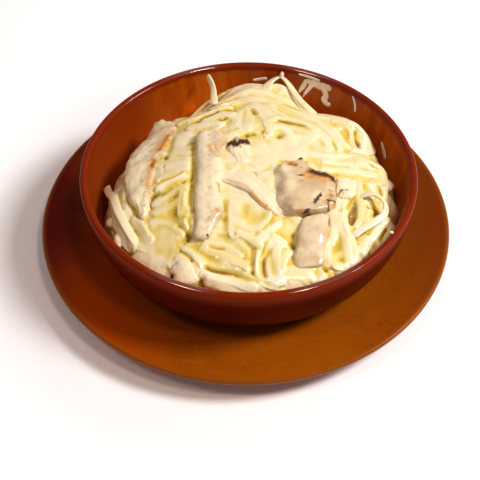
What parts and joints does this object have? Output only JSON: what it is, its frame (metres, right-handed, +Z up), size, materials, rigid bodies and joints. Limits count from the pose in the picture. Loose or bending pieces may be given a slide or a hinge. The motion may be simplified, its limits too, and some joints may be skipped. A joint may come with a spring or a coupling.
{
  "type": "bowl of fettuccine alfredo",
  "caption": "Mounded noodles in cream sauce with strips of grilled chicken, served in a glazed red-brown bowl on its matching underplate.",
  "frame": {"origin": "middle of the plate's foot, on the surface that the plate stands on", "axes": "+Z up, -Y towards the diner, +X to the diner's right"},
  "size_m": [0.2722, 0.2722, 0.0742],
  "materials": {
    "plate_glaze": "amber-brown gloss glaze on stoneware, paler along the lip",
    "bowl_glaze": "red-brown gloss glaze, amber inside and dark red at the lip",
    "sauced_noodles": "moist noodles coated in cream sauce",
    "grilled_chicken": "pale cooked chicken breast with browned and charred edges under a film of sauce"
  },
  "bodies": {
    "root": {"plate": "plate_glaze", "bowl": "bowl_glaze", "pasta": "sauced_noodles", "chicken_left": "grilled_chicken", "chicken_centre": "grilled_chicken", "chicken_char": "grilled_chicken", "chicken_middle": "grilled_chicken", "chicken_block": "grilled_chicken", "chicken_small": "grilled_chicken", "chicken_front_right": "grilled_chicken", "chicken_right": "grilled_chicken", "chicken_front": "grilled_chicken"}
  },
  "joints": []
}
